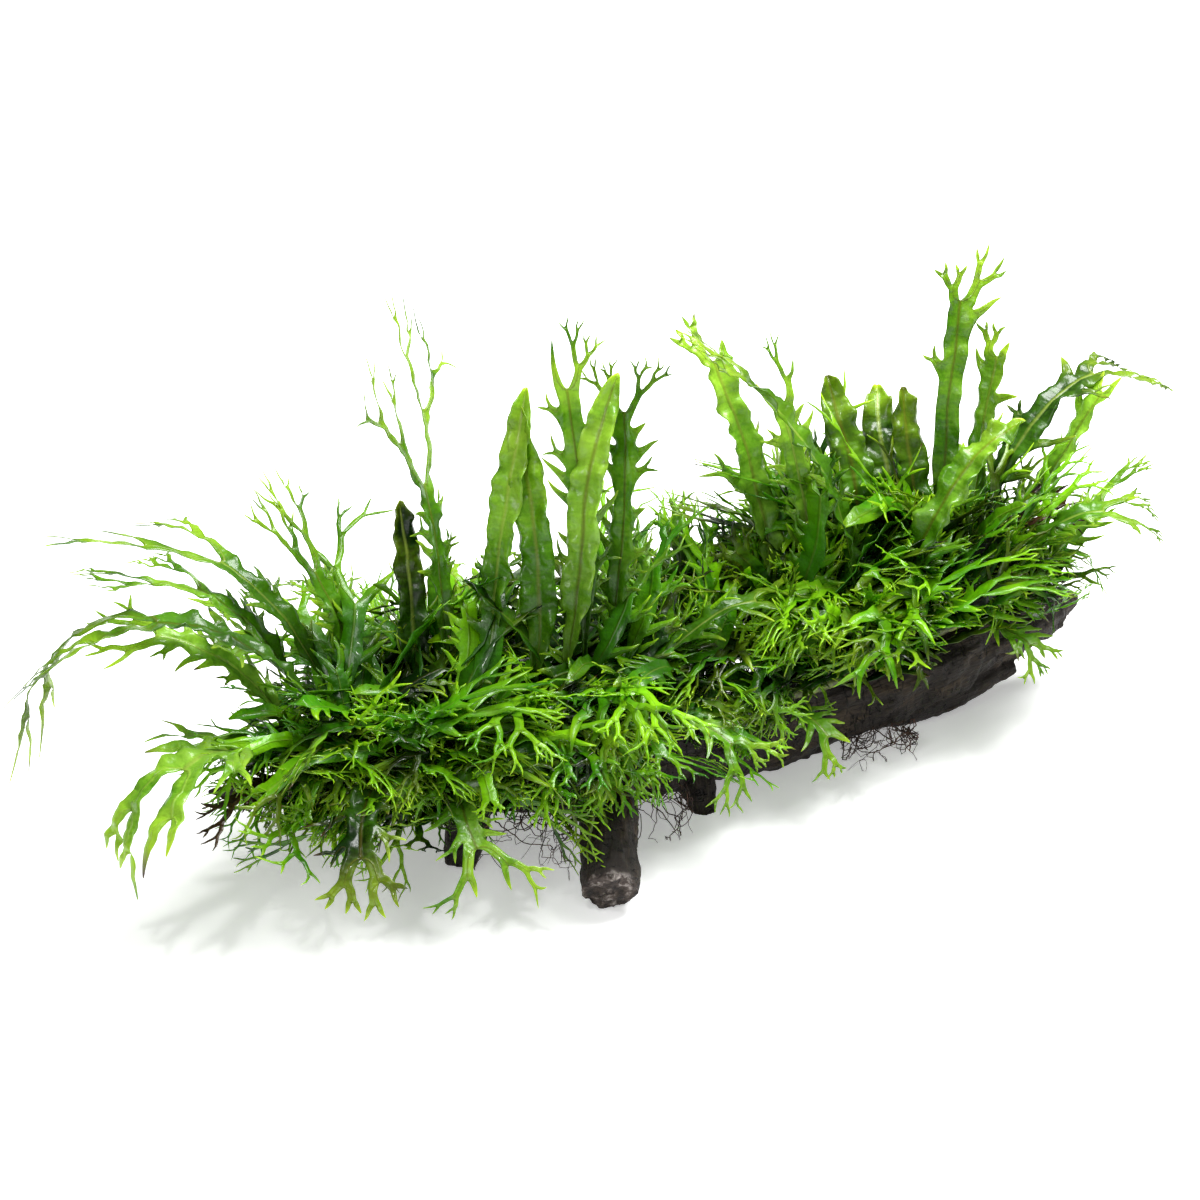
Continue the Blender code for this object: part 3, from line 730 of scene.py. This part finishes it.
def make_log(material):
    """The branching log: grooved limbs fused into one skin, flat where it rests."""
    limbs = []
    for limb in LIMBS:
        places, radii = limb_route(limb, 24)
        for *place, radius in BROKEN_ENDS.get(limb, ()):
            places.append(Vector(place) - FOOTPRINT_MIDDLE)
            radii.append(radius)
        limbs.append(make_tube(limb + "_wood", places, radii, 48))
        space = stretched_space(places)
        size = max(radii)
        displace(limbs[-1], "lumps", cloud_texture("lumps", 0.030, 1), 0.30 * size)
        displace(limbs[-1], "ridges", cloud_texture("ridges", 0.0060, 3, hard=True), 0.30 * size, space)
        displace(limbs[-1], "cracks", cloud_texture("cracks", 0.0022, 2, hard=True), 0.14 * size, space)
        apply_modifiers(limbs[-1])
        bpy.data.objects.remove(space)
    log = join(limbs, "driftwood_log")
    fuse = log.modifiers.new("fuse", "REMESH")
    fuse.mode = "VOXEL"
    fuse.voxel_size = 0.0011
    displace(log, "pits", cloud_texture("pits", 0.0035, 2), 0.0012)
    apply_modifiers(log)
    bpy.ops.object.mode_set(mode="EDIT")
    bpy.ops.mesh.select_all(action="SELECT")
    bpy.ops.mesh.bisect(
        plane_co=(0, 0, 0.0), plane_no=(0, 0, 1), use_fill=True, clear_inner=True)
    bpy.ops.object.mode_set(mode="OBJECT")
    write_grain(log)
    pit_cut_end(log)
    take(log)
    bpy.ops.object.shade_smooth()
    log.data.materials.clear()
    log.data.materials.append(material)
    hand_over(log, "driftwood", *LIMBS)


def pit_cut_end(log):
    """Rots pits into the sawn end of the front stub."""
    group = log.vertex_groups.new(name="cut end")
    for index, value in enumerate(log.data.attributes["cut"].data):
        if value.value > 0.01:
            group.add([index], value.value, "REPLACE")
    displace(log, "rot", cloud_texture("rot", 0.0065, 2), 0.0050, middle=0.60)
    log.modifiers["rot"].vertex_group = "cut end"
    apply_modifiers(log)
    log.vertex_groups.clear()


def write_grain(log):
    """Writes, for each point, its place along its limb and across it, so that grain follows the wood."""
    places = mesh_places(log)
    best = np.full(len(places), 1e9)
    grain = np.zeros((len(places), 3), np.float32)
    cut = np.zeros(len(places), np.float32)
    for number, limb in enumerate(LIMBS):
        centres, radii = limb_route(limb, 8)
        travelled = 0.13 * number
        for index in range(len(centres) - 1):
            start, end = centres[index], centres[index + 1]
            along = (end - start).normalized()
            side = along.cross(Vector((0, 0, 1))).normalized()
            up = side.cross(along)
            offset = places - np.array(start)
            depth = np.clip(offset @ np.array(along), 0, (end - start).length)
            away = np.linalg.norm(offset - depth[:, None] * np.array(along), axis=1) / radii[index]
            nearer = away < best
            best[nearer] = away[nearer]
            grain[nearer, 0] = travelled + (offset @ np.array(along))[nearer]
            grain[nearer, 1] = (offset @ np.array(side))[nearer]
            grain[nearer, 2] = (offset @ np.array(up))[nearer]
            travelled += (end - start).length
    end_place = limb_route("front_stub", 8)[0][-1]
    past = (places - np.array(end_place)) @ np.array((0.0, -0.95, -0.31))
    near = np.linalg.norm(places - np.array(end_place), axis=1) < 0.020
    cut[near] = np.clip((past[near] + 0.0035) / 0.003, 0, 1)
    log.data.attributes.new("grain", "FLOAT_VECTOR", "POINT").data.foreach_set("vector", grain.ravel())
    log.data.attributes.new("cut", "FLOAT", "POINT").data.foreach_set("value", cut)


def make_stems(material):
    for node in RHIZOMES:
        places = [rhizome_place(node, step / 60) for step in range(61)]
        radii = [RHIZOME_RADIUS * (0.7 + 0.3 * math.sin(math.pi * step / 60) ** 0.5) for step in range(61)]
        stem = make_tube(node.replace("rhizome", "creeping_stem"), places, radii, 16)
        displace(stem, "scales", cloud_texture("scales", 0.0025, 1), 0.0012)
        apply_modifiers(stem)
        bpy.ops.object.shade_smooth()
        stem.data.materials.append(material)
        hand_over(stem, "rhizome", node)


def root_line(dice, start, low, high, length):
    """A wiry root that wanders inside a box, turning back where it would leave it."""
    places = [start]
    way = Vector((dice.uniform(-1, 1), dice.uniform(-1, 0.4), dice.uniform(-1, -0.1))).normalized()
    step = 0.0025
    for _ in range(round(length / step)):
        way = (way + 0.42 * Vector([dice.gauss(0, 1) for _ in range(3)])).normalized()
        place = places[-1] + way * step
        for axis in range(3):
            if not low[axis] < place[axis] < high[axis]:
                way[axis] = -way[axis]
                place[axis] = min(max(place[axis], low[axis]), high[axis])
        places.append(place)
    return places


def make_hair_roots(material):
    for name in ("left", "middle", "right"):
        dice = random.Random("roots " + name)
        low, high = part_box("roots_" + name)
        low = Vector((low.x - 0.004, low.y - 0.004, 0.0006))
        high = high + Vector((0.004, 0.004, 0))
        strands = []
        for number in range(26 if name != "middle" else 18):
            start = Vector((dice.uniform(low.x, high.x), dice.uniform((low.y + high.y) / 2, high.y), high.z))
            places = root_line(dice, start, low, high, dice.uniform(0.030, 0.075))
            radius = dice.uniform(0.00022, 0.00042)
            radii = [radius * (1 - 0.6 * index / len(places)) for index in range(len(places))]
            strands.append(make_tube("strand", places, radii, 4))
        roots = join(strands, "hair_roots_" + name)
        bpy.ops.object.shade_smooth()
        roots.data.materials.append(material)
        hand_over(roots, "hair_roots", "roots_" + name)


# ---------------------------------------------------------------- materials

def colour(red, green, blue):
    """A colour of 0 to 255 values, as the shader wants it."""
    parts = []
    for value in (red, green, blue):
        value /= 255
        parts.append(value / 12.92 if value <= 0.04045 else ((value + 0.055) / 1.055) ** 2.4)
    return (*parts, 1.0)


class Flow:
    """A shader socket that takes part in Python sums."""

    def __init__(self, paint, socket):
        self.paint = paint
        self.socket = socket

    def maths(self, operation, *values):
        return self.paint.node("ShaderNodeMath", {"operation": operation}, dict(enumerate(values)))[0]

    def __add__(self, other):
        return self.maths("ADD", self, other)

    def __sub__(self, other):
        return self.maths("SUBTRACT", self, other)

    def __rsub__(self, other):
        return self.maths("SUBTRACT", other, self)

    def __mul__(self, other):
        return self.maths("MULTIPLY", self, other)

    def __abs__(self):
        return self.maths("ABSOLUTE", self)

    __radd__ = __add__
    __rmul__ = __mul__

    def clamp(self, low=0.0, high=1.0):
        """The share of the way from low to high, kept between 0 and 1."""
        return self.paint.node(
            "ShaderNodeMapRange", {}, {"Value": self, "From Min": low, "From Max": high})[0]


class Paint:
    """A material and the nodes put into it."""

    def __init__(self, name):
        self.material = bpy.data.materials.new(name)
        self.material.use_nodes = True
        self.tree = self.material.node_tree
        self.shader = self.tree.nodes["Principled BSDF"]
        self.output = self.tree.nodes["Material Output"]

    def node(self, kind, settings, inputs):
        made = self.tree.nodes.new(kind)
        for name, value in settings.items():
            if name == "stops":
                self.set_stops(made.color_ramp, value)
            else:
                setattr(made, name, value)
        for name, value in inputs.items():
            self.feed(made.inputs[name], value)
        return [Flow(self, socket) for socket in made.outputs if socket.enabled]

    def set_stops(self, ramp, stops):
        while len(ramp.elements) < len(stops):
            ramp.elements.new(0.5)
        for element, (position, shade) in zip(ramp.elements, stops):
            element.position = position
            element.color = shade

    def feed(self, socket, value):
        if isinstance(value, Flow):
            self.tree.links.new(value.socket, socket)
        else:
            socket.default_value = value

    def attribute(self, name, part):
        found = self.tree.nodes.new("ShaderNodeAttribute")
        found.attribute_name = name
        return Flow(self, found.outputs[part])

    def object_place(self):
        found = self.tree.nodes.new("ShaderNodeTexCoord")
        return Flow(self, found.outputs["Object"])

    def split(self, vector):
        return self.node("ShaderNodeSeparateXYZ", {}, {"Vector": vector})

    def noise(self, vector, scale, detail=2.0, roughness=0.5):
        return self.node(
            "ShaderNodeTexNoise", {},
            {"Vector": vector, "Scale": scale, "Detail": detail, "Roughness": roughness})[0]

    def ramp(self, value, *stops):
        return self.node("ShaderNodeValToRGB", {"stops": stops}, {"Fac": value})[0]

    def mix(self, share, first, second):
        return self.node("ShaderNodeMix", {"data_type": "RGBA"}, {0: share, 6: first, 7: second})[0]

    def bump(self, height, strength, distance):
        return self.node(
            "ShaderNodeBump", {}, {"Height": height, "Strength": strength, "Distance": distance})[0]

    def constants(self, **values):
        for name, value in values.items():
            self.shader.inputs[name.replace("_", " ")].default_value = value


LIT_THROUGH = 0.42      # share of a leaf's light that comes through it


def frond_paint(name, dark, middle, light, tip_colour, foot_shade_colour, rib_strength):
    """Wet green leaf, lit through: ribbed blade, midrib, yellowish tips, painted shade deep in the mass and
    towards the foot; brown where it is dying.
    """
    paint = Paint(name)
    leaf = paint.attribute("leaf", "Vector")
    _, across, tip = paint.split(leaf)
    tone, share, own = paint.split(paint.attribute("tone", "Vector"))
    place = paint.object_place()
    patches = paint.noise(place, 38.0, 3.0)
    cells = paint.noise(place, 620.0, 2.0)
    ribs = paint.noise(paint.node(
        "ShaderNodeMapping", {}, {"Vector": leaf, "Scale": (1.0, 0.0012, 0.0)})[0], 330.0, 1.0)
    # The tone carries the short fronds' painted shade, darker deep in the mass.
    shade = (tone + (patches - 0.5) * 0.9 + (cells - 0.5) * 0.25 + (ribs - 0.5) * 0.25).clamp()
    green = paint.ramp(shade, (0.0, dark), (0.5, middle), (1.0, light))
    midrib = 1 - abs(across).clamp(0.03, 0.17)
    rib_colour = paint.mix(own.clamp(0.35, 0.65), colour(98, 88, 12), colour(170, 190, 84))
    green = paint.mix(midrib * rib_strength * (1 - tip), green, rib_colour)
    pale = (tip * tip * 0.8 + share.clamp(0.55, 1.15) * 0.40) * patches.clamp(0.36, 0.58)
    green = paint.mix(pale.clamp(), green, tip_colour)
    # Painted shade: each frond darkens towards its foot, down in the mass.
    green = paint.mix((1 - share.clamp(0.10, 0.60)) * 0.8, green, foot_shade_colour)
    dying = tone.clamp(1.2, 1.8)
    scorched = tip.clamp(0.55, 0.95) * paint.noise(place, 24.0).clamp(0.60, 0.66)
    green = paint.mix((dying + scorched).clamp(), green, colour(74, 46, 16))
    paint.feed(paint.shader.inputs["Base Color"], green)
    paint.feed(paint.shader.inputs["Roughness"], 0.20 + 0.28 * patches)
    relief = cells * 0.4 + midrib * 0.8 + ribs * 1.1 + paint.noise(place, 260.0) * 0.7
    normal = paint.bump(relief, 0.55, 0.0008)
    paint.feed(paint.shader.inputs["Normal"], normal)
    paint.constants(Specular_IOR_Level=0.4, Coat_Weight=0.28, Coat_Roughness=0.08)
    lit = paint.node("ShaderNodeBsdfTranslucent", {}, {"Color": green, "Normal": normal})[0]
    skin = Flow(paint, paint.shader.outputs[0])
    both = paint.node("ShaderNodeMixShader", {}, {0: LIT_THROUGH, 1: skin, 2: lit})[0]
    paint.feed(paint.output.inputs["Surface"], both)
    return paint.material


def wood_paint():
    """Dark, damp driftwood: grain along each limb, cracks painted near-black as the shade inside them, a
    greyer cut end with pale patches painted on as highlights.
    """
    paint = Paint("driftwood_bark")
    grain = paint.attribute("grain", "Vector")
    stretched = paint.node(
        "ShaderNodeMapping", {}, {"Vector": grain, "Scale": (0.12, 1.0, 1.0)})[0]
    fibres = paint.noise(stretched, 900.0, 4.0, 0.6)
    streaks = paint.noise(stretched, 260.0, 3.0)
    blotches = paint.noise(grain, 60.0, 3.0)
    cracks = paint.noise(paint.node(
        "ShaderNodeMapping", {}, {"Vector": grain, "Scale": (0.8, 0.25, 0.25)})[0], 330.0, 2.0)
    crack = 1 - abs(cracks - 0.5).clamp(0.0, 0.018)
    shade = (streaks * 0.5 + fibres * 0.35 + blotches * 0.45 - 0.15).clamp(0.2, 0.85)
    bark = paint.ramp(
        shade, (0.0, colour(8, 6, 4)), (0.45, colour(30, 23, 16)), (1.0, colour(78, 64, 46)))
    # Painted shade: the cracks are painted near-black, as the shade inside them.
    bark = paint.mix(crack * 0.9, bark, colour(8, 6, 4))
    # Greyer end grain on the cut end; its palest patches are painted highlights.
    end = paint.ramp(
        paint.noise(grain, 150.0, 4.0, 0.65),
        (0.36, colour(20, 14, 12)), (0.50, colour(66, 56, 50)), (0.66, colour(168, 160, 154)))
    cut = paint.attribute("cut", "Fac")
    paint.feed(paint.shader.inputs["Base Color"], paint.mix(cut, bark, end))
    paint.feed(paint.shader.inputs["Roughness"], 0.50 + 0.35 * streaks)
    relief = fibres * 0.5 + streaks * 0.9 - crack * 1.4
    paint.feed(paint.shader.inputs["Normal"], paint.bump(relief, 0.9, 0.0020))
    paint.constants(Specular_IOR_Level=0.3)
    return paint.material


def stem_paint():
    """Creeping stem: green-brown, scaly."""
    paint = Paint("creeping_stem_skin")
    place = paint.object_place()
    scales = paint.noise(place, 420.0, 2.0)
    skin = paint.ramp(
        scales, (0.30, colour(42, 30, 14)), (0.50, colour(72, 84, 26)), (0.70, colour(118, 128, 52)))
    paint.feed(paint.shader.inputs["Base Color"], skin)
    paint.feed(paint.shader.inputs["Roughness"], 0.4 + 0.3 * scales)
    paint.feed(paint.shader.inputs["Normal"], paint.bump(scales, 0.6, 0.001))
    return paint.material


def root_paint():
    """Hair roots: dark reddish brown, dull."""
    paint = Paint("hair_root_fibre")
    fibres = paint.noise(paint.object_place(), 300.0, 2.0)
    tone = paint.ramp(fibres, (0.35, colour(30, 18, 14)), (0.65, colour(82, 54, 40)))
    paint.feed(paint.shader.inputs["Base Color"], tone)
    paint.feed(paint.shader.inputs["Roughness"], 0.55 + 0.3 * fibres)
    paint.feed(paint.shader.inputs["Normal"], paint.bump(fibres, 0.4, 0.0005))
    return paint.material


# ---------------------------------------------------------------- studio

def make_floor():
    bpy.ops.object.select_all(action="DESELECT")
    bpy.ops.mesh.primitive_circle_add(vertices=64, radius=6.0, fill_type="NGON", location=(0, 0, 0))
    floor = bpy.context.object
    floor.name = "floor"
    paint = Paint("floor_white")
    paint.constants(
        Base_Color=(0.90, 0.90, 0.90, 1.0), Roughness=0.9, Specular_IOR_Level=0.1,
        Emission_Color=(1.0, 1.0, 1.0, 1.0), Emission_Strength=0.36)
    floor.data.materials.append(paint.material)


def make_light(name, place, size, power):
    light = bpy.data.lights.new(name, "AREA")
    light.size = size
    light.energy = power
    item = bpy.data.objects.new(name, light)
    item.location = place
    item.rotation_euler = Vector(place).to_track_quat("Z", "Y").to_euler()
    bpy.context.scene.collection.objects.link(item)


def make_studio():
    make_floor()
    world = bpy.data.worlds.new("studio")
    bpy.context.scene.world = world
    world.use_nodes = True
    background = world.node_tree.nodes["Background"]
    background.inputs["Color"].default_value = (1.0, 1.0, 1.0, 1.0)
    background.inputs["Strength"].default_value = 0.22
    make_light("key", (0.50, 0.45, 1.5), 0.9, 68.0)
    make_light("fill", (-0.7, -1.3, 1.4), 0.6, 11.0)
    make_light("sparkle", (-0.5, -0.6, 1.7), 0.12, 6.0)
    bpy.context.scene.view_settings.view_transform = "Standard"


def make_camera():
    lens = bpy.data.cameras.new("camera")
    lens.lens = 100.0
    lens.sensor_width = 36.0
    camera = bpy.data.objects.new("camera", lens)
    camera.location = (-0.00867, -1.29616, 0.840)
    camera.rotation_euler = (math.radians(60.0), 0.0, 0.0)
    bpy.context.scene.collection.objects.link(camera)
    bpy.context.scene.camera = camera


def build():
    long_paint = frond_paint(
        "long_frond_leaf", colour(12, 42, 0), colour(84, 146, 8), colour(172, 220, 72), colour(204, 232, 50),
        colour(30, 62, 8), 0.6)
    short_paint = frond_paint(
        "short_frond_leaf", colour(10, 40, 0), colour(68, 146, 0), colour(134, 208, 8), colour(184, 226, 30),
        colour(10, 30, 2), 0.25)
    make_long_fronds(long_paint)
    make_short_fronds(short_paint)
    make_log(wood_paint())
    make_stems(stem_paint())
    make_hair_roots(root_paint())
    make_studio()
    make_camera()


build()
